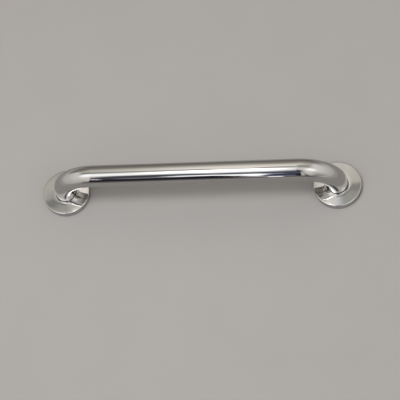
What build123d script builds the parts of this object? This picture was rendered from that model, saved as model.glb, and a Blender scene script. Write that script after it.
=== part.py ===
"""Wall grab bar: a bent tube on two screw plates, each plate under a pressed cover.

Millimetres. X runs along the bar, Z points away from the wall, and the origin lies
on the wall plane, midway between the two legs.
"""

import os

from build123d import *

# Tube
fixing_centres = 450.0  # from one leg's axis to the other's
tube_diameter = 35.0
tube_wall = 1.5
bend_radius = 60.0  # to the tube's centreline
tube_setback = 0.5  # the tube's end stops this far short of the wall

# Screw plates, welded round the tube's ends
plate_thickness = 3.0
plate_fit = 0.1  # radial gap between the tube and its hole in the plate
plate_land = 14.5  # from the weld to the plate's edge
plate_bevel = 0.6
weld_leg = 3.0
weld_crown = 0.5  # how far the weld's face swells past a straight one
screw_count = 3
screw_hole_diameter = 6.0

# Pressed covers
cover_sheet = 0.8
cover_height = 14.5  # from the wall to the top of the cover's face
cover_rise = 2.7  # how far the face climbs from its rim to the tube
cover_room = 3.2  # between the plate's edge and the inside of the skirt
cover_clearance = 0.7  # round the tube, so that the cover passes the bend
cover_edge_gap = 0.3  # from the wall to the skirt's edge
rim_radius = 2.0
leg_above_cover = 3.0  # straight tube left between the cover and the bend

# Sizes that follow
leg_x = fixing_centres / 2
tube_radius = tube_diameter / 2
bar_height = cover_height + leg_above_cover + bend_radius
weld_radius = tube_radius + weld_leg
plate_radius = weld_radius + plate_land
screw_circle_radius = weld_radius + plate_land / 2
cover_radius = plate_radius + cover_room + cover_sheet
cover_hole_radius = tube_radius + cover_clearance
rim_height = cover_height - cover_rise

# Each leg's place, and the way from it towards the end of the bar
LEGS = {"left": (-leg_x, 180), "right": (leg_x, 0)}


def leg_section(x):
    """The upright plane along the bar, with its origin at the foot of a leg."""
    return Plane(origin=(x, 0, 0), x_dir=(1, 0, 0), z_dir=(0, -1, 0))


def leg_axis(x):
    return Axis((x, 0, 0), (0, 0, 1))


os.makedirs("parts", exist_ok=True)

# The bar: one tube, bent twice, with the bead of weld that holds each plate
with BuildPart() as bar_tube:
    with BuildLine(Plane.XZ) as route:
        FilletPolyline(
            (-leg_x, tube_setback),
            (-leg_x, bar_height),
            (leg_x, bar_height),
            (leg_x, tube_setback),
            radius=bend_radius,
        )
    with BuildSketch(Plane(origin=route.line @ 0, z_dir=route.line % 0)):
        Circle(tube_radius)
        Circle(tube_radius - tube_wall, mode=Mode.SUBTRACT)
    sweep()
    for x, _ in LEGS.values():
        with BuildSketch(leg_section(x)):
            with BuildLine():
                toe = (weld_radius, plate_thickness)
                top = (tube_radius, plate_thickness + weld_leg)
                root = (tube_radius - tube_wall / 2, plate_thickness)
                SagittaArc(toe, top, -weld_crown)
                Polyline(top, (root[0], top[1]), root, toe)
            make_face()
        revolve(axis=leg_axis(x))
bar_tube.part.label = "bar_tube"
export_step(bar_tube.part, "parts/bar_tube.step")

for side, (x, outward) in LEGS.items():
    # The screw plate: a round blank with a hole for the tube and one for each screw
    with BuildPart() as plate:
        with BuildSketch(Plane(origin=(x, 0, 0))):
            Circle(plate_radius)
            Circle(tube_radius + plate_fit, mode=Mode.SUBTRACT)
            with PolarLocations(screw_circle_radius, screw_count, start_angle=outward):
                Circle(screw_hole_diameter / 2, mode=Mode.SUBTRACT)
        extrude(amount=plate_thickness)
        front = plate.faces().sort_by(Axis.Z)[-1]
        chamfer(front.outer_wire().edges(), length=plate_bevel)
    plate.part.label = f"{side}_mounting_plate"
    export_step(plate.part, f"parts/{side}_mounting_plate.step")

    # The cover: sheet pressed to a low cone with a rounded rim and a short skirt
    with BuildPart() as cover:
        with BuildSketch(leg_section(x)):
            with BuildLine():
                FilletPolyline(
                    (cover_hole_radius, cover_height),
                    (cover_radius, rim_height),
                    (cover_radius, cover_edge_gap),
                    radius=rim_radius,
                )
                offset(amount=cover_sheet, side=Side.RIGHT, closed=True)
            make_face()
        revolve(axis=leg_axis(x))
    cover.part.label = f"{side}_cover"
    export_step(cover.part, f"parts/{side}_cover.step")
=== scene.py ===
# %% [markdown]
# A grab bar is the steel rail beside a bath or a shower that a hand pulls on.
# This one is a single tube bent twice, with a screw plate welded to each end and
# a thin pressed cover that hides the plate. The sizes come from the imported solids,
# which stand in the scene as a fixed frame. Here the visible pieces are remade
# with finer curves and given their finish, and nothing is moved or resized.

# %% Load the frame
import math

import bmesh
import bpy
from mathutils import Matrix, Vector


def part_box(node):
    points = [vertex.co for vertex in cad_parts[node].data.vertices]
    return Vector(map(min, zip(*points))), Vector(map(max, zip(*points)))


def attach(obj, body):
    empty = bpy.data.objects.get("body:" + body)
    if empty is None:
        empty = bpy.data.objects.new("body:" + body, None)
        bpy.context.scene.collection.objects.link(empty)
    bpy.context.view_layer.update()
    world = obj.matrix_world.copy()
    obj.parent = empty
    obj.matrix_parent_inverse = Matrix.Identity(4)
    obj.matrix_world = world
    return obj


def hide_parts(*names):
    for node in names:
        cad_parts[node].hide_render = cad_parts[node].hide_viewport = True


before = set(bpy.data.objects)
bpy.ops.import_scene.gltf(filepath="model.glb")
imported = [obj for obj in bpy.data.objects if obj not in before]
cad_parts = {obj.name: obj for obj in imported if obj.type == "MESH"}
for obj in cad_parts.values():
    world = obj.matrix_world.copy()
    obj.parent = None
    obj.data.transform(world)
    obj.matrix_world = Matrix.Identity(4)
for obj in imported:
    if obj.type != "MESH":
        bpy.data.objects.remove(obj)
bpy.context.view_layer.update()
scene = bpy.context.scene
scene.view_settings.view_transform = "Standard"
MM = 0.001

# %% [markdown]
# Every size that the frame can give is read from it, so the looks follow the
# solids. The few that a box cannot give, such as the radius of a bend or the
# thickness of a sheet, are written once here, as they are in the solids.

# %% Sizes
bar_low, bar_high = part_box("bar_tube")
cover_low, cover_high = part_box("right_cover")
_, plate_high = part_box("right_mounting_plate")
LEG_X = (cover_low.x + cover_high.x) / 2
TUBE_RADIUS = 17.5 * MM
BAR_HEIGHT = bar_high.z - TUBE_RADIUS
TUBE_FOOT = bar_low.z
TUBE_WALL = 1.5 * MM
BEND_RADIUS = 60 * MM
COVER_RADIUS = cover_high.y
COVER_TOP = cover_high.z
COVER_FOOT = cover_low.z
COVER_CLEARANCE = 0.7 * MM
COVER_HOLE = TUBE_RADIUS + COVER_CLEARANCE
COVER_RISE = 2.7 * MM
COVER_SHEET = 0.8 * MM
RIM_RADIUS = 2 * MM
PLATE_TOP = plate_high.z
WELD_LEG = 3 * MM
WELD_CROWN = 0.5 * MM
LEGS = {"left": -LEG_X, "right": LEG_X}
print("legs at", [round(x, 4) for x in LEGS.values()], "tube radius", round(TUBE_RADIUS, 5))
print("bar height", round(BAR_HEIGHT, 5), "cover radius", round(COVER_RADIUS, 5))

# %% [markdown]
# Node trees make both the shapes and the finishes. Placing each node by hand in
# code soon hides what a tree does, so two small classes keep it readable. A Wire
# is one output of a node, and sums on a wire add Math nodes, so that a rule reads
# like a rule: 1 - mask. A Bench adds any node with its settings and its sockets.

# %% Wires
def pick(sockets, key):
    """A socket by its number, its identifier or its name."""
    if isinstance(key, int):
        return sockets[key]
    for socket in sockets:
        if socket.identifier == key:
            return socket
    return next(s for s in sockets if s.name == key and s.enabled)


class Wire:
    """One output of a node. Sums on it add Math nodes to its tree."""

    def __init__(self, bench, node, output=0):
        self.bench, self.node, self.output = bench, node, output

    @property
    def socket(self):
        return pick(self.node.outputs, self.output)

    def __getitem__(self, output):
        return Wire(self.bench, self.node, output)

    def __add__(self, other):
        return self.bench.maths("ADD", self, other)

    def __radd__(self, other):
        return self.bench.maths("ADD", other, self)

    def __sub__(self, other):
        return self.bench.maths("SUBTRACT", self, other)

    def __rsub__(self, other):
        return self.bench.maths("SUBTRACT", other, self)

    def __mul__(self, other):
        return self.bench.maths("MULTIPLY", self, other)

    def __rmul__(self, other):
        return self.bench.maths("MULTIPLY", other, self)

    def __truediv__(self, other):
        return self.bench.maths("DIVIDE", self, other)

    def __rtruediv__(self, other):
        return self.bench.maths("DIVIDE", other, self)

    def __pow__(self, other):
        return self.bench.maths("POWER", self, other)

    def __rpow__(self, other):
        return self.bench.maths("POWER", other, self)


print("wires ready")

# %% [markdown]
# Two settings of a node are lists that grow item by item: the choices of an Index
# Switch and the values that a Capture Attribute holds. The bench fills those
# first, then the sockets. Below add are short names for what is needed often.

# %% A bench for nodes
class Bench:
    """A node tree and the one way to add a node to it."""

    def __init__(self, tree):
        self.tree = tree

    def add(self, kind, settings=None, sockets=None):
        node = self.tree.nodes.new(kind)
        for key, value in (settings or {}).items():
            if key == "items":
                while len(node.index_switch_items) < value:
                    node.index_switch_items.new()
            elif key == "captures":
                for name, data_type in value.items():
                    node.capture_items.new(data_type, name)
            else:
                setattr(node, key, value)
        for key, value in (sockets or {}).items():
            self.feed(pick(node.inputs, key), value)
        return Wire(self, node)

    def feed(self, socket, value):
        """Links a wire to a socket, or sets the socket's own value."""
        if isinstance(value, Wire):
            self.tree.links.new(value.socket, socket)
        elif socket.type == "RGBA":
            socket.default_value = (*value, 1.0)
        else:
            socket.default_value = value

    def maths(self, operation, first, second=0.0):
        return self.add("ShaderNodeMath", {"operation": operation}, {0: first, 1: second})

    def parts(self, vector):
        split = self.add("ShaderNodeSeparateXYZ", {}, {"Vector": vector})
        return split["X"], split["Y"], split["Z"]

    def vector(self, x=0.0, y=0.0, z=0.0):
        return self.add("ShaderNodeCombineXYZ", {}, {"X": x, "Y": y, "Z": z})

    def noise(self, place, scale, detail=2.0, roughness=0.5):
        sockets = {"Vector": place, "Scale": scale, "Detail": detail, "Roughness": roughness}
        return self.add("ShaderNodeTexNoise", {}, sockets)["Fac"]

    def rise(self, value, low, high):
        """0 below low and 1 above high, smooth between."""
        sockets = {"Value": value, "From Min": low, "From Max": high}
        return self.add("ShaderNodeMapRange", {"interpolation_type": "SMOOTHSTEP"}, sockets)

    def between(self, value, low, low_end, high, high_end):
        """1 from low_end to high, with a soft start and a soft end."""
        return self.rise(value, low, low_end) * (1.0 - self.rise(value, high, high_end))

    def beyond(self, value, limit):
        """How far a value lies above a limit, and 0 below it."""
        return self.maths("MAXIMUM", value - limit, 0.0)

    def over(self, under, colour, mask):
        """A colour laid over another where the mask says."""
        sockets = {"Factor_Float": mask, "A_Color": under, "B_Color": colour}
        return self.add("ShaderNodeMix", {"data_type": "RGBA"}, sockets)["Result_Color"]

    def glow(self, colour):
        return self.add("ShaderNodeEmission", {}, {"Color": colour, "Strength": 1.0})

    def mixed(self, share, first, second):
        """Two shaders, with the given share of the second."""
        return self.add("ShaderNodeMixShader", {}, {0: share, 1: first, 2: second})


print("bench ready")

# %% [markdown]
# A finish starts from the same few lines each time: a material with one
# Principled shader. The shader's fixed numbers are set on its own sockets,
# and only what changes over the surface is wired in.

# %% Start of a finish
def new_finish(name, metallic, viewport):
    finish = bpy.data.materials.new(name)
    finish.use_nodes = True
    finish.diffuse_color = (*viewport, 1.0)
    shader = finish.node_tree.nodes["Principled BSDF"]
    shader.inputs["Metallic"].default_value = metallic
    return finish, Bench(finish.node_tree), shader


def bump(bench, shader, height, depth):
    """Relief of the given depth, in metres, on the shader's normal."""
    relief = bench.add("ShaderNodeBump", {}, {"Height": height, "Distance": depth, "Strength": 1.0})
    bench.feed(shader.inputs["Normal"], relief["Normal"])


print("finishes can start")

# %% [markdown]
# The tube and the covers are stainless steel buffed to a mirror. A mirror shows
# its surroundings, so its own marks are faint: fine rings left by the buffing
# wheel, a slow waviness of the drawn tube, and a little haze where hands have
# been. Noise on Object coordinates would run straight through the bends, so the
# pattern is read from an attribute that the shape's node tree stores on the mesh:
# for the tube its place along and around the tube before bending, for a cover its
# place from the cover's own centre.

# %% Mirror-polished steel
STEEL = (0.615, 0.605, 0.590)
STEEL_HAZED = (0.570, 0.562, 0.550)
HAZE_EDGE, HAZE_TINT = (0.50, 0.72), 0.6
POLISH, RING_ROUGHNESS, HAZE_ROUGHNESS = 0.026, 0.020, 0.040
WAVE_DEPTH = 0.02 * MM
TUBE_RINGS, TUBE_RING_DRIFT = 1500.0, 20.0
COVER_RINGS = 2500.0


def mirror_steel(name, place_name, ring_place, haze_scale, wave_scale):
    finish, bench, shader = new_finish(name, 1.0, STEEL)
    place = bench.add("ShaderNodeAttribute", {"attribute_name": place_name})["Vector"]
    rings = bench.noise(ring_place(bench, place), 1.0)
    haze = bench.rise(bench.noise(place, haze_scale, detail=4.0, roughness=0.6), *HAZE_EDGE)
    bench.feed(shader.inputs["Base Color"], bench.over(STEEL, STEEL_HAZED, haze * HAZE_TINT))
    bench.feed(shader.inputs["Roughness"], POLISH + rings * RING_ROUGHNESS + haze * HAZE_ROUGHNESS)
    bump(bench, shader, bench.noise(place, wave_scale, detail=1.0), WAVE_DEPTH)
    return finish


def rings_along_tube(bench, place):
    along, side, up = bench.parts(place)
    return bench.vector(along * TUBE_RINGS, side * TUBE_RING_DRIFT, up * TUBE_RING_DRIFT)


def rings_round_cover(bench, place):
    x, y, z = bench.parts(place)
    radius = (x * x + y * y) ** 0.5
    return bench.vector(radius * COVER_RINGS, z * COVER_RINGS)


tube_finish = mirror_steel(
    "tube_mirror", "straight_place", rings_along_tube, haze_scale=16.0, wave_scale=22.0)
cover_finish = mirror_steel(
    "cover_mirror", "cover_place", rings_round_cover, haze_scale=40.0, wave_scale=45.0)
print("polished finishes", tube_finish.name, cover_finish.name)

# %% [markdown]
# What nobody polishes keeps the finish that the mill gave it: the screw plates,
# the inside of the tube and the back of the covers. Rolled stainless is a soft
# grey with fine straight lines in the rolling direction and a mottled gloss.
# These surfaces are flat or mostly hidden, so noise stretched along one axis of
# the Object coordinates is enough, and they need no map of their own.

# %% Mill-finished steel
MILL = (0.46, 0.455, 0.445)
MILL_DARK = (0.36, 0.355, 0.345)
ROLLING = (60.0, 2600.0, 900.0)
MOTTLE = 90.0
LINE_SHARE, MOTTLE_SHARE, MILL_EDGE = 0.6, 0.4, (0.38, 0.64)
LINE_ROUGHNESS, MOTTLE_ROUGHNESS = 0.08, 0.14
LINE_DEPTH = 0.008 * MM


def mill_steel(name, roughness):
    finish, bench, shader = new_finish(name, 1.0, MILL)
    place = bench.add("ShaderNodeTexCoord")["Object"]
    rolled = bench.add("ShaderNodeMapping", {}, {"Vector": place, "Scale": ROLLING})
    lines = bench.noise(rolled, 1.0, detail=3.0)
    mottle = bench.noise(place, MOTTLE, detail=4.0, roughness=0.6)
    shade = bench.rise(lines * LINE_SHARE + mottle * MOTTLE_SHARE, *MILL_EDGE)
    bench.feed(shader.inputs["Base Color"], bench.over(MILL, MILL_DARK, shade))
    gloss = roughness + mottle * MOTTLE_ROUGHNESS + lines * LINE_ROUGHNESS
    bench.feed(shader.inputs["Roughness"], gloss)
    bump(bench, shader, lines, LINE_DEPTH)
    return finish


plate_finish = mill_steel("mill_plate", roughness=0.26)
inside_finish = mill_steel("mill_inside", roughness=0.30)
print("mill finishes", plate_finish.name, inside_finish.name)

# %% [markdown]
# A bead of weld metal joins tube and plate. It is not ground flat, because the
# cover hides it, so it keeps its ripples and a dull, slightly darker skin. Bump
# would leave its outline smooth, so the ripples are in the shape, and the finish
# adds the dullness and a fine roughness.

# %% Weld metal
WELD = (0.40, 0.385, 0.365)
WELD_DARK = (0.27, 0.255, 0.240)
STAIN, STAIN_EDGE = 320.0, (0.40, 0.70)
WELD_ROUGHNESS, STAIN_ROUGHNESS = 0.30, 0.22
GRIT, GRIT_DEPTH = 2200.0, 0.03 * MM


def weld_metal(name):
    finish, bench, shader = new_finish(name, 1.0, WELD)
    place = bench.add("ShaderNodeTexCoord")["Object"]
    stain = bench.noise(place, STAIN, detail=4.0, roughness=0.65)
    bench.feed(shader.inputs["Base Color"], bench.over(WELD, WELD_DARK, bench.rise(stain, *STAIN_EDGE)))
    bench.feed(shader.inputs["Roughness"], WELD_ROUGHNESS + stain * STAIN_ROUGHNESS)
    bump(bench, shader, bench.noise(place, GRIT), GRIT_DEPTH)
    return finish


weld_finish = weld_metal("weld_bead")
print("weld finish", weld_finish.name)

# %% [markdown]
# Each main shape follows a rule, so Geometry Nodes make it. A tree has named
# inputs for its sizes, and a helper runs it on an empty object and keeps the
# result as a plain mesh at the origin, which is what the export needs.

# %% From a node tree to a plain mesh
def new_tree(name, inputs):
    tree = bpy.data.node_groups.new(name, "GeometryNodeTree")
    for title, kind in inputs.items():
        tree.interface.new_socket(name=title, in_out="INPUT", socket_type=kind)
    tree.interface.new_socket(name="Mesh", in_out="OUTPUT", socket_type="NodeSocketGeometry")
    bench = Bench(tree)
    return bench, bench.add("NodeGroupInput")


def end_tree(bench, shape, finish):
    """Every tree ends in the same nodes."""
    smooth = bench.add("GeometryNodeSetShadeSmooth", {}, {"Geometry": shape})
    whole = bench.add("GeometryNodeRealizeInstances", {}, {"Geometry": smooth})
    coated = bench.add("GeometryNodeSetMaterial", {}, {"Geometry": whole, "Material": finish})
    bench.add("NodeGroupOutput", {}, {"Mesh": coated})
    return bench.tree


def make_plain(piece, sharp_above=None):
    """Replaces a piece's mesh by what its modifiers make of it."""
    depsgraph = bpy.context.evaluated_depsgraph_get()
    mesh = bpy.data.meshes.new_from_object(
        piece.evaluated_get(depsgraph), preserve_all_data_layers=True, depsgraph=depsgraph)
    piece.modifiers.clear()
    piece.data = mesh
    mesh.name = piece.name
    if sharp_above:
        mesh.set_sharp_from_angle(angle=math.radians(sharp_above))


def grow(name, tree, sizes):
    piece = bpy.data.objects.new(name, bpy.data.meshes.new(name))
    scene.collection.objects.link(piece)
    maker = piece.modifiers.new("maker", "NODES")
    maker.node_group = tree
    for socket in tree.interface.items_tree:
        if socket.in_out == "INPUT":
            maker[socket.identifier] = sizes[socket.name]
    make_plain(piece)
    return piece


print("tree helpers ready")

# %% [markdown]
# A tree here gives a skin without thickness. Solidify makes it a sheet and Bevel
# takes the sharpness off its edges, as a deburring tool does. Both are made plain
# in the same way. Then the piece is measured, because a mesh can look right and
# still have a gap or faces that point inwards.

# %% Walls and edges
EDGE_SEGMENTS, EDGE_ANGLE, SHARP_ANGLE = 2, 50, 38


def wall(piece, thickness, inside, edge):
    """Gives an open skin its thickness on the inside, and breaks its sharp edges."""
    piece.data.materials.append(inside)
    solid = piece.modifiers.new("wall", "SOLIDIFY")
    solid.thickness, solid.offset, solid.use_even_offset = thickness, -1.0, True
    solid.material_offset = solid.material_offset_rim = 1
    soft = piece.modifiers.new("edge", "BEVEL")
    soft.width, soft.segments = edge, EDGE_SEGMENTS
    soft.limit_method, soft.angle_limit = "ANGLE", math.radians(EDGE_ANGLE)
    make_plain(piece, sharp_above=SHARP_ANGLE)


def measured(piece):
    """A sound skin has no open edges, and a volume above zero, as its faces point outwards."""
    shell = bmesh.new()
    shell.from_mesh(piece.data)
    volume = shell.calc_volume(signed=True)
    open_edges = sum(1 for e in shell.edges if len(e.link_faces) != 2)
    shell.free()
    return f"volume mm3 {volume / MM ** 3:.0f}, open edges {open_edges}, faces {len(piece.data.polygons)}"


print("edges of", EDGE_SEGMENTS, "segments above", EDGE_ANGLE, "degrees")

# %% [markdown]
# A tube and a pressed cover are both sweeps. One line is drawn through a few
# corner points and rounded with a fillet, as a bender or a press rounds metal,
# and another is a circle. The sweep joins them. A value that is held on a line
# before the sweep can be read on the skin afterwards.

# %% Lines and sweeps
def rounded_line(bench, corners, radius, steps):
    """A line through corner points, with each inner corner rounded."""
    choices = {f"Item_{i}": corner for i, corner in enumerate(corners)}
    choices["Index"] = bench.add("GeometryNodeInputIndex")
    settings = {"data_type": "VECTOR", "items": len(corners)}
    place = bench.add("GeometryNodeIndexSwitch", settings, choices)
    points = bench.add("GeometryNodePoints", {}, {"Count": len(corners), "Position": place})
    line = bench.add("GeometryNodePointsToCurves", {}, {"Points": points})
    sockets = {"Curve": line, "Radius": radius, "Count": steps}
    return bench.add("GeometryNodeFilletCurve", {"mode": "POLY"}, sockets)


def circle_line(bench, radius, steps):
    return bench.add("GeometryNodeCurvePrimitiveCircle", {}, {"Radius": radius, "Resolution": steps})


def hold(bench, line, name, kind, value):
    """The line with a value held on its points."""
    settings = {"captures": {name: kind}}
    return bench.add("GeometryNodeCaptureAttribute", settings, {"Geometry": line, name: value})


def swept(bench, line, section):
    sockets = {"Curve": line["Geometry"], "Profile Curve": section["Geometry"]}
    return bench.add("GeometryNodeCurveToMesh", {}, sockets)


def store_place(bench, shape, name, place):
    """The shape with a place stored on it, for its finish to read."""
    settings = {"data_type": "FLOAT_VECTOR", "domain": "POINT"}
    sockets = {"Geometry": shape, "Name": name, "Value": place}
    return bench.add("GeometryNodeStoreNamedAttribute", settings, sockets)


print("lines and sweeps ready")

# %% [markdown]
# The bar starts as a straight tube. A bender draws it round a former twice, so
# the centre line is two legs, two quarter circles and one long straight. A Bezier
# curve only comes near a quarter circle, but four corner points and a fillet give
# that line exactly. Sweeping a circle along it gives the skin. The tree also
# stores where each point was before bending.

# %% The bent tube
BEND_STEPS, TUBE_STEPS = 64, 160
TUBE_EDGE = 0.2 * MM


def tube_tree(finish):
    bench, given = new_tree("bent_tube", {
        "Leg X": "NodeSocketFloat", "Foot": "NodeSocketFloat", "Height": "NodeSocketFloat",
        "Bend Radius": "NodeSocketFloat", "Bend Steps": "NodeSocketInt",
        "Tube Radius": "NodeSocketFloat", "Round Steps": "NodeSocketInt"})
    right, left = given["Leg X"], given["Leg X"] * -1.0
    foot, height = given["Foot"], given["Height"]
    places = ((left, foot), (left, height), (right, height), (right, foot))
    corners = [bench.vector(x, 0.0, z) for x, z in places]
    route = rounded_line(bench, corners, given["Bend Radius"], given["Bend Steps"])
    centre_line = hold(bench, route, "Along", "FLOAT", bench.add("GeometryNodeSplineParameter")["Length"])
    circle = circle_line(bench, given["Tube Radius"], given["Round Steps"])
    ring = hold(bench, circle, "Around", "VECTOR", bench.add("GeometryNodeInputPosition"))
    side, up, _ = bench.parts(ring["Around"])
    straight_place = bench.vector(centre_line["Along"], side, up)
    skin = store_place(bench, swept(bench, centre_line, ring), "straight_place", straight_place)
    return end_tree(bench, skin, finish)


tube = grow("bent_tube", tube_tree(tube_finish), {
    "Leg X": LEG_X, "Foot": TUBE_FOOT, "Height": BAR_HEIGHT, "Bend Radius": BEND_RADIUS,
    "Bend Steps": BEND_STEPS, "Tube Radius": TUBE_RADIUS, "Round Steps": TUBE_STEPS})
wall(tube, TUBE_WALL, inside_finish, TUBE_EDGE)
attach(tube, "bar")
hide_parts("bar_tube")
print(tube.name, measured(tube))

# %% [markdown]
# A cover is a disc of thin sheet pressed to a low cone, with a rounded rim, a
# short skirt and a hole for the tube. A Screw modifier could turn its section, but
# a tree can also store each point's place for the finish, so the section is swept
# round the cover's axis. It has three corners, and the same fillet node rounds the
# rim. Extra points on the straight runs keep the cone's reflections true.

# %% The pressed covers
RIM_STEPS, RUN_CUTS, COVER_STEPS = 14, 2, 192
COVER_EDGE = 0.12 * MM


def cover_tree(finish):
    bench, given = new_tree("pressed_cover", {
        "Place X": "NodeSocketFloat", "Hole Radius": "NodeSocketFloat", "Radius": "NodeSocketFloat",
        "Top": "NodeSocketFloat", "Rise": "NodeSocketFloat", "Foot": "NodeSocketFloat",
        "Rim Radius": "NodeSocketFloat", "Rim Steps": "NodeSocketInt",
        "Run Cuts": "NodeSocketInt", "Round Steps": "NodeSocketInt"})
    place = bench.add("GeometryNodeInputPosition")
    inner_edge = bench.vector(given["Hole Radius"], given["Top"])
    rim = bench.vector(given["Radius"], given["Top"] - given["Rise"])
    lower_edge = bench.vector(given["Radius"], given["Foot"])
    rounded = rounded_line(bench, [inner_edge, rim, lower_edge], given["Rim Radius"], given["Rim Steps"])
    divided = bench.add("GeometryNodeSubdivideCurve", {}, {"Curve": rounded, "Cuts": given["Run Cuts"]})
    section = hold(bench, divided, "Section", "VECTOR", place)
    circle = circle_line(bench, given["Radius"], given["Round Steps"])
    turn = hold(bench, circle, "Turn", "VECTOR", place)
    out, height, _ = bench.parts(section["Section"])
    x, y, _ = bench.parts(turn["Turn"])
    on_cover = bench.vector(x / given["Radius"] * out, y / given["Radius"] * out, height)
    skin = swept(bench, turn, section)
    turned = bench.add("GeometryNodeSetPosition", {}, {"Geometry": skin, "Position": on_cover})
    marked = store_place(bench, turned, "cover_place", place)
    to_leg = bench.vector(given["Place X"])
    moved = bench.add("GeometryNodeSetPosition", {}, {"Geometry": marked, "Offset": to_leg})
    return end_tree(bench, moved, finish)


cover_shape = cover_tree(cover_finish)
for side, leg_x in LEGS.items():
    cover = grow(f"{side}_cover_shell", cover_shape, {
        "Place X": leg_x, "Hole Radius": COVER_HOLE, "Radius": COVER_RADIUS,
        "Top": COVER_TOP, "Rise": COVER_RISE, "Foot": COVER_FOOT,
        "Rim Radius": RIM_RADIUS, "Rim Steps": RIM_STEPS,
        "Run Cuts": RUN_CUTS, "Round Steps": COVER_STEPS})
    if cover.data.polygons[0].normal.z < 0:
        cover.data.flip_normals()
    wall(cover, COVER_SHEET, inside_finish, COVER_EDGE)
    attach(cover, f"{side}_cover")
    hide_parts(f"{side}_cover")
    print(cover.name, measured(cover))

# %% [markdown]
# The weld bead is a small fillet that runs round the foot of each leg. A welder
# lays it puddle by puddle, and each puddle freezes as a crescent over the last.
# It could be sculpted, but a rule makes both beads alike. A flat grid is rolled
# up into a ring with a crowned section round the leg, and a wave that bends with
# the height of the section pushes its face out and in.

# %% The weld beads
WELD_RIPPLES, STEPS_PER_RIPPLE, WELD_SECTION_STEPS = 46, 8, 11
RIPPLE_DEPTH = 0.14 * MM
RIPPLE_BEND = 5.0
WELD_ROOT = 0.7 * MM
WELD_EDGE = 0.05 * MM
WELD_SEAM = 0.002 * MM
DIAGONAL = math.sqrt(0.5)


def weld_tree(finish):
    bench, given = new_tree("weld_bead", {
        "Place X": "NodeSocketFloat", "Tube Radius": "NodeSocketFloat", "Plate Top": "NodeSocketFloat",
        "Leg": "NodeSocketFloat", "Crown": "NodeSocketFloat",
        "Ripples": "NodeSocketFloat", "Ripple Depth": "NodeSocketFloat",
        "Round Steps": "NodeSocketInt", "Section Steps": "NodeSocketInt"})
    steps = {"Vertices X": given["Round Steps"], "Vertices Y": given["Section Steps"]}
    grid = bench.add("GeometryNodeMeshGrid", {}, {"Size X": 1.0, "Size Y": 1.0, **steps})
    u, v, _ = bench.parts(bench.add("GeometryNodeInputPosition"))
    turn = (u + 0.5) * (2 * math.pi)
    across = v + 0.5
    crown = across * (1.0 - across) * 4.0
    crescent = (across - 0.5) * (across - 0.5) * RIPPLE_BEND
    wave = bench.maths("COSINE", turn * given["Ripples"] + crescent)
    out = (crown * given["Crown"] + crown * wave * given["Ripple Depth"]) * DIAGONAL
    radius = given["Tube Radius"] + given["Leg"] * (1.0 - across) + out
    height = given["Plate Top"] + given["Leg"] * across + out
    x = bench.maths("COSINE", turn) * radius + given["Place X"]
    place = bench.vector(x, bench.maths("SINE", turn) * radius, height)
    rolled = bench.add("GeometryNodeSetPosition", {}, {"Geometry": grid["Mesh"], "Position": place})
    closed = bench.add("GeometryNodeMergeByDistance", {}, {"Geometry": rolled, "Distance": WELD_SEAM})
    return end_tree(bench, closed, finish)


weld_shape = weld_tree(weld_finish)
for side, leg_x in LEGS.items():
    weld = grow(f"{side}_weld", weld_shape, {
        "Place X": leg_x, "Tube Radius": TUBE_RADIUS, "Plate Top": PLATE_TOP,
        "Leg": WELD_LEG, "Crown": WELD_CROWN,
        "Ripples": float(WELD_RIPPLES), "Ripple Depth": RIPPLE_DEPTH,
        "Round Steps": WELD_RIPPLES * STEPS_PER_RIPPLE + 1, "Section Steps": WELD_SECTION_STEPS})
    wall(weld, WELD_ROOT, weld_finish, WELD_EDGE)
    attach(weld, "bar")
    print(weld.name, measured(weld))

# %% [markdown]
# The screw plates keep their solids as they are. They are flat blanks with
# three holes, and only their finish is missing.

# %% Finish of the screw plates
for side in LEGS:
    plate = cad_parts[f"{side}_mounting_plate"]
    plate.data.materials.clear()
    plate.data.materials.append(plate_finish)
print("plates finished in", plate_finish.name)

# %% [markdown]
# The floor is a plain pale disc, a little warm, with a slight unevenness so
# that it is not one flat colour. The steel shows it darker than it is, as
# painted shade that stands for a viewer's shade on the floor.
# Far from the bar it turns into the background's own tone, for the eye and for
# the mirror, so that a low view has no edge in it.

# %% Finish of the floor
FLOOR = (0.378, 0.363, 0.354)
FLOOR_SHADE, FLOOR_CLOUD = 0.94, 9.0
FLOOR_ROUGHNESS, FLOOR_SHINE = 0.75, 0.25
# painted shade: the share by which the steel shows the floor darker than it is
BLACK, MIRROR_PAINTED_SHADE = (0.0, 0.0, 0.0), 0.20
FADE = (0.7, 2.2)


def pale_floor():
    finish, bench, shader = new_finish("pale_floor", 0.0, FLOOR)
    place = bench.add("ShaderNodeTexCoord")["Object"]
    shaded = tuple(c * FLOOR_SHADE for c in FLOOR)
    cloud = bench.noise(place, FLOOR_CLOUD, detail=4.0)
    bench.feed(shader.inputs["Base Color"], bench.over(FLOOR, shaded, cloud))
    shader.inputs["Roughness"].default_value = FLOOR_ROUGHNESS
    shader.inputs["Specular IOR Level"].default_value = FLOOR_SHINE
    ray = bench.add("ShaderNodeLightPath")
    # Painted shade: glossy rays see the whole floor a fifth darker, in place of a viewer's shade on it.
    lit = bench.mixed(ray["Is Glossy Ray"] * MIRROR_PAINTED_SHADE, Wire(bench, shader), bench.glow(BLACK))
    x, y, _ = bench.parts(place)
    far = bench.rise((x * x + y * y) ** 0.5, *FADE)
    seen = ray["Is Camera Ray"] + ray["Is Glossy Ray"] + ray["Is Transmission Ray"]
    faded = bench.mixed(far * seen, lit, bench.glow(FLOOR))
    bench.feed(finish.node_tree.nodes["Material Output"].inputs["Surface"], faded)
    return finish


floor_finish = pale_floor()
print("floor finish", floor_finish.name, FLOOR)

# %% [markdown]
# The floor, the tent and the tent's hem are plain round shapes with no wall. A
# few mesh operators make each of them, so no node tree is needed. They are not
# part of the bar.

# %% The floor
FLOOR_RADIUS, ROUND_SEGMENTS = 2.6, 96


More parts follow.
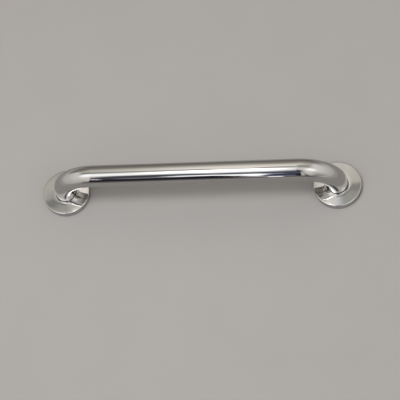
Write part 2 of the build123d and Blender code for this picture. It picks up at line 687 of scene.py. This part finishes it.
def studio_piece(name, shape, finish):
    """An object of the studio, made from a shape that is not needed after that."""
    mesh = bpy.data.meshes.new(name)
    shape.to_mesh(mesh)
    shape.free()
    mesh.materials.append(finish)
    piece = bpy.data.objects.new(name, mesh)
    scene.collection.objects.link(piece)
    return piece


disc = bmesh.new()
bmesh.ops.create_circle(disc, cap_ends=True, cap_tris=False, segments=ROUND_SEGMENTS, radius=FLOOR_RADIUS)
floor = studio_piece("floor", disc, floor_finish)
print("floor radius", FLOOR_RADIUS)

# %% [markdown]
# Polished steel has no colour of its own. It shows the room, so the light is
# part of the finish. Area lamps would show in it as hard boxes, so the studio is
# a tent: a dome of pale cloth that glows softly, with grey, dark and bright cloths
# hung in it. A point on the dome is named by two leans from the zenith in degrees:
# across, positive to the right, and away, positive to the far side. Near is the
# same as away, turned round. Soft masks on those leans cut every cloth. A pair of
# numbers is one soft edge and four are two soft edges. A spot has its place, its
# inner and its outer radius, and may be stretched.

# %% Places on the tent
class TentPlace:
    """Where a point of the dome is, in degrees from the zenith."""

    def __init__(self, bench):
        self.bench = bench
        x, y, z = bench.parts(bench.add("ShaderNodeTexCoord")["Object"])
        never_zero = 1e-6
        flat = (x * x + y * y + never_zero) ** 0.5
        self.lean = bench.maths("ARCTAN2", flat, z) * math.degrees(1.0)
        self.across, self.away = self.lean * x / flat, self.lean * y / flat
        self.near = self.away * -1.0

    def spot(self, across, away, inner, outer, stretch=1.0):
        """A soft round spot, or an oval one that is longer from near to far."""
        side, depth = self.across - across, (self.away - away) / stretch
        return 1.0 - self.bench.rise((side * side + depth * depth) ** 0.5, inner, outer)


print("places ready")

# %% [markdown]
# The far half of the tent falls from grey to a dark foot, with a paler band
# across its middle. The bar's upper side shows it as a slow gradient.

# %% The far half
CLOTH = (0.90, 0.88, 0.85)
CLOTH_LOW = (0.60, 0.585, 0.57)
CLOTH_FALL = (45.0, 88.0)
FAR_GREY = (0.46, 0.46, 0.42)
FAR_GREY_START = (-6.0, 4.0)
FAR_WIDTH = (-48.0, -30.0, 24.0, 40.0)
BAND_LEFT = (0.62, 0.62, 0.54)
BAND_RIGHT = (0.80, 0.765, 0.71)
BAND_END = (0.66, 0.63, 0.55)
BAND_START = (18.0, 25.0)
BAND_TURN = (-4.0, 5.0)
BAND_FALL = (9.0, 21.0)
FAR_DARK = (0.23, 0.205, 0.185)
FOOT_START = (36.0, 84.0)
FOOT_END = (52.0, 66.0)
RIGHT_FOOT_START = (40.0, 55.0)
RIGHT_FOOT_WIDTH = (-6.0, -1.0, 30.0, 60.0)
RIGHT_FOOT_SHARE = 0.5


def far_half(bench, at):
    colour = bench.over(CLOTH, CLOTH_LOW, bench.rise(at.lean, *CLOTH_FALL))
    middle = bench.between(at.across, *FAR_WIDTH)
    colour = bench.over(colour, FAR_GREY, bench.rise(at.away, *FAR_GREY_START) * middle)
    band = bench.over(BAND_LEFT, BAND_RIGHT, bench.rise(at.across, *BAND_TURN))
    band = bench.over(band, BAND_END, bench.rise(at.across, *BAND_FALL))
    colour = bench.over(colour, band, bench.rise(at.away, *BAND_START) * middle)
    foot = bench.rise(at.away, *FOOT_START) * (1.0 - bench.rise(at.across, *FOOT_END))
    colour = bench.over(colour, FAR_DARK, foot)
    right_foot = bench.rise(at.away, *RIGHT_FOOT_START) * bench.between(at.across, *RIGHT_FOOT_WIDTH)
    return bench.over(colour, FAR_DARK, right_foot * RIGHT_FOOT_SHARE)


print("far half", FAR_GREY, "to", FAR_DARK)

# %% [markdown]
# A plain gradient would look drawn on the steel. So the far half also has a dark
# corner, a cool and a warm glow, and a dark seam that slants on the right and has
# a gap near the middle.

# %% Marks on the far half
FAR_CORNER = (-46.0, 66.0, 24.0, 40.0)
FAR_CORNER_SHARE = 0.9
FAR_COOL = (0.80, 0.84, 0.89)
COOL_SPOT = (-1.0, 4.0, 2.0, 11.0)
COOL_SHARE = 0.8
FAR_GLOW = (1.15, 1.07, 1.01)
GLOW_SPOT = (-6.0, 20.0, 2.0, 14.0, 2.5)
SEAM = (0.30, 0.29, 0.28)
SEAM_AWAY, SEAM_SLANT = 11.0, 0.4
SEAM_SOFT = (1.0, 5.5)
SEAM_WIDTH = (-44.0, -34.0, 24.0, 34.0)
SEAM_THIN = (6.0, 16.0)
SEAM_THIN_SHARE = 0.25
SEAM_GAP = (-7.6, -6.6, -4.0, -2.6)
SEAM_GAP_SHARE = 0.9


def far_seam(bench, at):
    place = at.away - bench.beyond(at.across, 0.0) * SEAM_SLANT - SEAM_AWAY
    seam = 1.0 - bench.rise(bench.maths("ABSOLUTE", place), *SEAM_SOFT)
    seam = seam * bench.between(at.across, *SEAM_WIDTH)
    seam = seam * (1.0 - bench.rise(at.across, *SEAM_THIN) * SEAM_THIN_SHARE)
    return seam * (1.0 - bench.between(at.across, *SEAM_GAP) * SEAM_GAP_SHARE)


def far_marks(bench, at, colour):
    colour = bench.over(colour, FAR_DARK, at.spot(*FAR_CORNER) * FAR_CORNER_SHARE)
    colour = bench.over(colour, FAR_COOL, at.spot(*COOL_SPOT) * COOL_SHARE)
    colour = bench.over(colour, FAR_GLOW, at.spot(*GLOW_SPOT))
    return bench.over(colour, SEAM, far_seam(bench, at))


print("marks", FAR_COOL, FAR_GLOW, "seam", SEAM)

# %% [markdown]
# A dark screen hangs on the viewer's side, as a photographer hangs one to give
# bright metal a black line. It widens towards the floor, and its right part is
# bluer than the rest.

# %% The near screen
SCREEN = (0.024, 0.022, 0.030)
SCREEN_START = (20.5, 28.5)
SCREEN_LEFT = (-19.0, -15.2)
SCREEN_RIGHT = (2.0, 20.0)
SPREAD_START, SPREAD = 36.0, 0.22
FLARE_START, FLARE = 60.0, 0.009
SCREEN_BLUE = (0.095, 0.105, 0.16)
BLUE_WIDTH = (-4.2, -3.2, 3.0, 10.0)
BLUE_END = (56.0, 66.0)
SCREEN_TOP = (0.082, 0.088, 0.110)
TOP_BAND = (30.0, 38.0, 45.0, 50.0)


def near_screen(bench, at, colour):
    spread = bench.beyond(at.near, SPREAD_START) * SPREAD
    spread = spread + bench.beyond(at.near, FLARE_START) ** 2.0 * FLARE
    screen = bench.rise(at.near, *SCREEN_START) * bench.rise(at.across + spread, *SCREEN_LEFT)
    screen = screen * (1.0 - bench.rise(at.across - spread, *SCREEN_RIGHT))
    colour = bench.over(colour, SCREEN, screen)
    blue = screen * bench.between(at.across, *BLUE_WIDTH) * (1.0 - bench.rise(at.near, *BLUE_END))
    colour = bench.over(colour, SCREEN_BLUE, blue)
    return bench.over(colour, SCREEN_TOP, screen * bench.between(at.near, *TOP_BAND))


print("near screen", SCREEN)

# %% [markdown]
# A narrow opening in the screen lets a wedge of light through. The bar shows it
# as a bright sliver in its black line, which grows towards the right and ends in
# a slanting tip. A faint gleam lies before it, a blue streak and a sill after it.

# %% The opening in the screen
OPENING = (1.70, 1.72, 1.80)
OPENING_LEFT = (-13.3, -10.8)
OPENING_RIGHT = (-3.55, -2.5)
OPENING_TOP = (43.0, 50.0)
OPENING_FOOT = (53.0, 58.8)
STEP_ACROSS = (-8.0, -6.6)
STEP = 3.0
SLANT_START, SLANT = -8.15, 6.5
TIP_NEAR, TIP_TAPER = 58.0, 0.095
GLINT = (-19.7, -57.5, 0.2, 0.7, 7.0)
GLEAM = (0.27, 0.27, 0.30)
GLEAM_WIDTH = (-19.0, -16.0, -12.0, -10.0)
GLEAM_BAND = (48.0, 53.0, 58.0, 63.0)
STREAK = (0.34, 0.35, 0.50)
STREAK_WIDTH = (-4.4, -3.8, -1.9, -1.3)
STREAK_BAND = (49.0, 52.0, 58.0, 62.0)
SILL_BLUE = (0.17, 0.18, 0.26)
SILL_BLUE_WIDTH = (-4.4, -3.8, -1.2, -0.4)
SILL_BLUE_START = (69.0, 74.0)
SILL = (0.52, 0.52, 0.54)
SILL_WIDTH = (-7.8, -6.2, -4.6, -4.0)
SILL_START = (74.0, 80.0)


def opening_mask(bench, at):
    top = at.near - bench.rise(at.across, *STEP_ACROSS) * STEP
    foot = at.near - bench.beyond(at.across, SLANT_START) * SLANT
    tip = at.across + bench.maths("ABSOLUTE", at.near - TIP_NEAR) * TIP_TAPER
    opening = bench.rise(at.across, *OPENING_LEFT) * (1.0 - bench.rise(tip, *OPENING_RIGHT))
    return opening * bench.rise(top, *OPENING_TOP) * (1.0 - bench.rise(foot, *OPENING_FOOT))


def screen_opening(bench, at, colour):
    gleam = bench.between(at.across, *GLEAM_WIDTH) * bench.between(at.near, *GLEAM_BAND)
    colour = bench.over(colour, GLEAM, gleam)
    streak = bench.between(at.near, *STREAK_BAND) * bench.between(at.across, *STREAK_WIDTH)
    colour = bench.over(colour, STREAK, streak)
    colour = bench.over(colour, OPENING, opening_mask(bench, at))
    colour = bench.over(colour, OPENING, at.spot(*GLINT))
    blue_sill = bench.between(at.across, *SILL_BLUE_WIDTH) * bench.rise(at.near, *SILL_BLUE_START)
    colour = bench.over(colour, SILL_BLUE, blue_sill)
    sill = bench.between(at.across, *SILL_WIDTH) * bench.rise(at.near, *SILL_START)
    return bench.over(colour, SILL, sill)


print("opening", OPENING)

# %% [markdown]
# To the right of the screen hang a pale strip and a grey cloth. Low down on
# either side a dark spot closes the tent.

# %% Beside the screen
STRIP_WIDTH = (8.0, 10.0, 15.0, 18.0)
STRIP_START = (40.0, 50.0)
NEAR_GREY = (0.36, 0.35, 0.335)
GREY_START = (28.0, 68.0)
GREY_LEFT = (30.0, 48.0)
DARK_SPOTS = [(-37.0, -78.0, 3.0, 12.0), (40.0, -78.0, 3.0, 12.0)]
DARK_SPOT_SHARE = 0.8


def beside_screen(bench, at, colour):
    strip = bench.between(at.across, *STRIP_WIDTH) * bench.rise(at.near, *STRIP_START)
    colour = bench.over(colour, CLOTH_LOW, strip)
    grey = bench.rise(at.near, *GREY_START) * bench.rise(at.across, *GREY_LEFT)
    colour = bench.over(colour, NEAR_GREY, grey)
    for spot in DARK_SPOTS:
        colour = bench.over(colour, SCREEN, at.spot(*spot) * DARK_SPOT_SHARE)
    return colour


print("beside the screen", NEAR_GREY)

# %% [markdown]
# A white panel hangs overhead and a smaller one on either side. They give the bar
# its white band and each bend its bright spot. A brighter core in the panel draws
# the thin white lines on the rims.

# %% The overhead panels
PANEL = (1.72, 1.75, 1.82)
PANEL_WIDTH = (-19.0, -8.0, -3.4, 1.6)
PANEL_FAR = (-2.0, 7.0)
PANEL_MIDDLE, PANEL_FLAT, PANEL_ROUND = -7.5, 3.5, 1.3
PANEL_RIGHT, PANEL_SLANT = -3.0, 1.6
PANEL_NEAR = (-36.0, -11.0)
PANEL_STEP_ACROSS = (-11.0, -6.5)
PANEL_STEP = 6.0
PANEL_CORE = (11.0, 11.0, 11.2)
CORE_SPOT = (-7.0, -8.0, 2.0, 7.0)
SIDE_PANEL = (1.55, 1.56, 1.55)
RIGHT_SPOT = (32.0, -18.0, 5.0, 18.0)
LEFT_SPOT = (-25.0, -12.0, 5.0, 25.0)
LEFT_SPOT_END = (-3.0, 6.0)


def overhead_panels(bench, at, colour):
    from_middle = bench.maths("ABSOLUTE", at.across - PANEL_MIDDLE)
    far_edge = at.away + bench.beyond(from_middle, PANEL_FLAT) * PANEL_ROUND
    far_edge = far_edge + bench.beyond(at.across, PANEL_RIGHT) * PANEL_SLANT
    near_edge = at.away + bench.rise(at.across, *PANEL_STEP_ACROSS) * PANEL_STEP
    panel = bench.between(at.across, *PANEL_WIDTH) * bench.rise(near_edge, *PANEL_NEAR)
    colour = bench.over(colour, PANEL, panel * (1.0 - bench.rise(far_edge, *PANEL_FAR)))
    colour = bench.over(colour, PANEL_CORE, at.spot(*CORE_SPOT))
    colour = bench.over(colour, SIDE_PANEL, at.spot(*RIGHT_SPOT))
    left = at.spot(*LEFT_SPOT) * (1.0 - bench.rise(at.away, *LEFT_SPOT_END))
    return bench.over(colour, SIDE_PANEL, left)


print("panels", PANEL, SIDE_PANEL)

# %% [markdown]
# The dome carries all of that as one glowing material. The camera does not see
# the dome itself, so that it can stand outside it.

# %% The light tent
BELOW_FLOOR = -0.01


def glowing_cloth(name, colour_of):
    """A material that does nothing but glow, in the colour that its nodes give."""
    cloth = bpy.data.materials.new(name)
    cloth.use_nodes = True
    cloth.node_tree.nodes.clear()
    bench = Bench(cloth.node_tree)
    bench.add("ShaderNodeOutputMaterial", {}, {"Surface": bench.glow(colour_of(bench))})
    return cloth


def tent_colour(bench):
    at = TentPlace(bench)
    colour = far_half(bench, at)
    for hang in (far_marks, near_screen, screen_opening, beside_screen, overhead_panels):
        colour = hang(bench, at, colour)
    return colour


dome = bmesh.new()
bmesh.ops.create_uvsphere(
    dome, u_segments=ROUND_SEGMENTS, v_segments=ROUND_SEGMENTS // 2, radius=FLOOR_RADIUS)
bmesh.ops.delete(dome, geom=[v for v in dome.verts if v.co.z < BELOW_FLOOR], context="VERTS")
tent_cloth = glowing_cloth("glowing_cloth", tent_colour)
tent = studio_piece("light_tent", dome, tent_cloth)
tent.visible_camera = False
print("tent nodes", len(tent_cloth.node_tree.nodes))

# %% [markdown]
# Where the cloth meets the floor it hangs in a hem, dark in front and behind
# and pale at the sides, with one bright patch in front that carries the sill of
# the opening on. Only reflections see it: it gives the bar its dark line along
# the horizon and leaves the floor alone.

# %% The hem of the tent
HEM_RADIUS, HEM_HEIGHT, HEM_LIFT = 0.46, 0.10, 0.001
HEM = (0.16, 0.15, 0.145)
HEM_SIDE = (0.40, 0.385, 0.375)
HEM_SIDE_RISE = (HEM_HEIGHT * 0.3, HEM_HEIGHT)
HEM_SIDE_START = (HEM_RADIUS * 0.55, HEM_RADIUS * 0.85)
PATCH = (2.00, 1.97, 2.12)
PATCH_WIDTH = (0.072, 0.083, 0.103, 0.111)
PATCH_START = (0.045, 0.062)
PATCH_BACK = (-0.1, 0.0)


def hem_colour(bench):
    x, y, z = bench.parts(bench.add("ShaderNodeTexCoord")["Object"])
    patch = bench.between(x, *PATCH_WIDTH) * bench.rise(z, *PATCH_START)
    front = bench.over(HEM, PATCH, patch * (1.0 - bench.rise(y, *PATCH_BACK)))
    at_side = bench.over(HEM_SIDE, CLOTH_LOW, bench.rise(z, *HEM_SIDE_RISE))
    return bench.over(front, at_side, bench.rise(bench.maths("ABSOLUTE", x), *HEM_SIDE_START))


ring = bmesh.new()
low = bmesh.ops.create_circle(ring, cap_ends=False, segments=ROUND_SEGMENTS, radius=HEM_RADIUS)["verts"]
raised = bmesh.ops.extrude_edge_only(ring, edges=ring.edges[:])["geom"]
rim = [v for v in raised if isinstance(v, bmesh.types.BMVert)]
bmesh.ops.translate(ring, verts=low, vec=(0.0, 0.0, HEM_LIFT))
bmesh.ops.translate(ring, verts=rim, vec=(0.0, 0.0, HEM_HEIGHT))
hem = studio_piece("tent_hem", ring, glowing_cloth("hem_cloth", hem_colour))
hem.visible_camera = hem.visible_diffuse = hem.visible_shadow = False
print("hem radius", HEM_RADIUS)

# %% [markdown]
# Cloth alone leaves hardly any shadow. A round lamp in front of the white panel
# is small enough to draw the bar's shadow on the floor and large enough to keep
# its edge soft. The mirror does not show it, because its glare would tear the
# edges of the white band.

# %% The lamp
LAMP_DISTANCE, LAMP_SIZE, LAMP_POWER = 2.4, 0.70, 21.0
LAMP_ACROSS, LAMP_AWAY = -8.0, -5.0

lamp = bpy.data.lights.new("overhead_lamp", "AREA")
lamp.shape, lamp.size, lamp.energy = "DISK", LAMP_SIZE, LAMP_POWER
lamp_object = bpy.data.objects.new("overhead_lamp", lamp)
scene.collection.objects.link(lamp_object)
lamp_lean = Matrix.Rotation(math.radians(math.hypot(LAMP_ACROSS, LAMP_AWAY)), 4, "Y")
lamp_turn = Matrix.Rotation(math.atan2(LAMP_AWAY, LAMP_ACROSS), 4, "Z")
lamp_object.matrix_world = lamp_turn @ lamp_lean @ Matrix.Translation((0.0, 0.0, LAMP_DISTANCE))
lamp_object.visible_camera = lamp_object.visible_glossy = False
print("lamp at", tuple(round(c, 3) for c in lamp_object.matrix_world.translation))

# %% [markdown]
# The camera does not see the tent. Behind the floor's edge it sees the world,
# which has the floor's own tone, so that the background stays plain and pale.

# %% The background
world = bpy.data.worlds.new("background")
world.use_nodes = True
scene.world = world
background = world.node_tree.nodes["Background"]
background.inputs["Color"].default_value = (*FLOOR, 1.0)
background.inputs["Strength"].default_value = 1.0
print("background", FLOOR)

# %% [markdown]
# The viewer stands over the bar and looks down on it, a little from the front
# and the right. The camera's place and angles were solved from the outline of
# the bar and its covers, and the long lens keeps the covers nearly equal.

# %% The camera
EYE = Vector((0.3504, -0.8718, 2.1750))
TURN, TILT, ROLL = math.radians(-22.305), math.radians(23.071), math.radians(22.387)
FOCAL_PIXELS, FRAME_PIXELS, AXIS_ROW = 1437.4, 400.0, 199.07
SENSOR_WIDTH = 36.0
CLIP_NEAR, CLIP_FAR = 0.01, 50.0

lens = bpy.data.cameras.new("viewer")
lens.sensor_width = SENSOR_WIDTH
lens.lens = FOCAL_PIXELS / FRAME_PIXELS * lens.sensor_width
lens.shift_y = (AXIS_ROW - FRAME_PIXELS / 2) / FRAME_PIXELS
lens.clip_start, lens.clip_end = CLIP_NEAR, CLIP_FAR
camera = bpy.data.objects.new("viewer", lens)
scene.collection.objects.link(camera)
to_camera = Matrix.Rotation(ROLL, 3, "Z") @ Matrix.Rotation(-TILT, 3, "X") @ Matrix.Rotation(TURN, 3, "Z")
camera.matrix_world = Matrix.Translation(EYE) @ to_camera.transposed().to_4x4()
scene.camera = camera
print("camera at", tuple(round(c, 3) for c in EYE), "lens", round(lens.lens, 1))
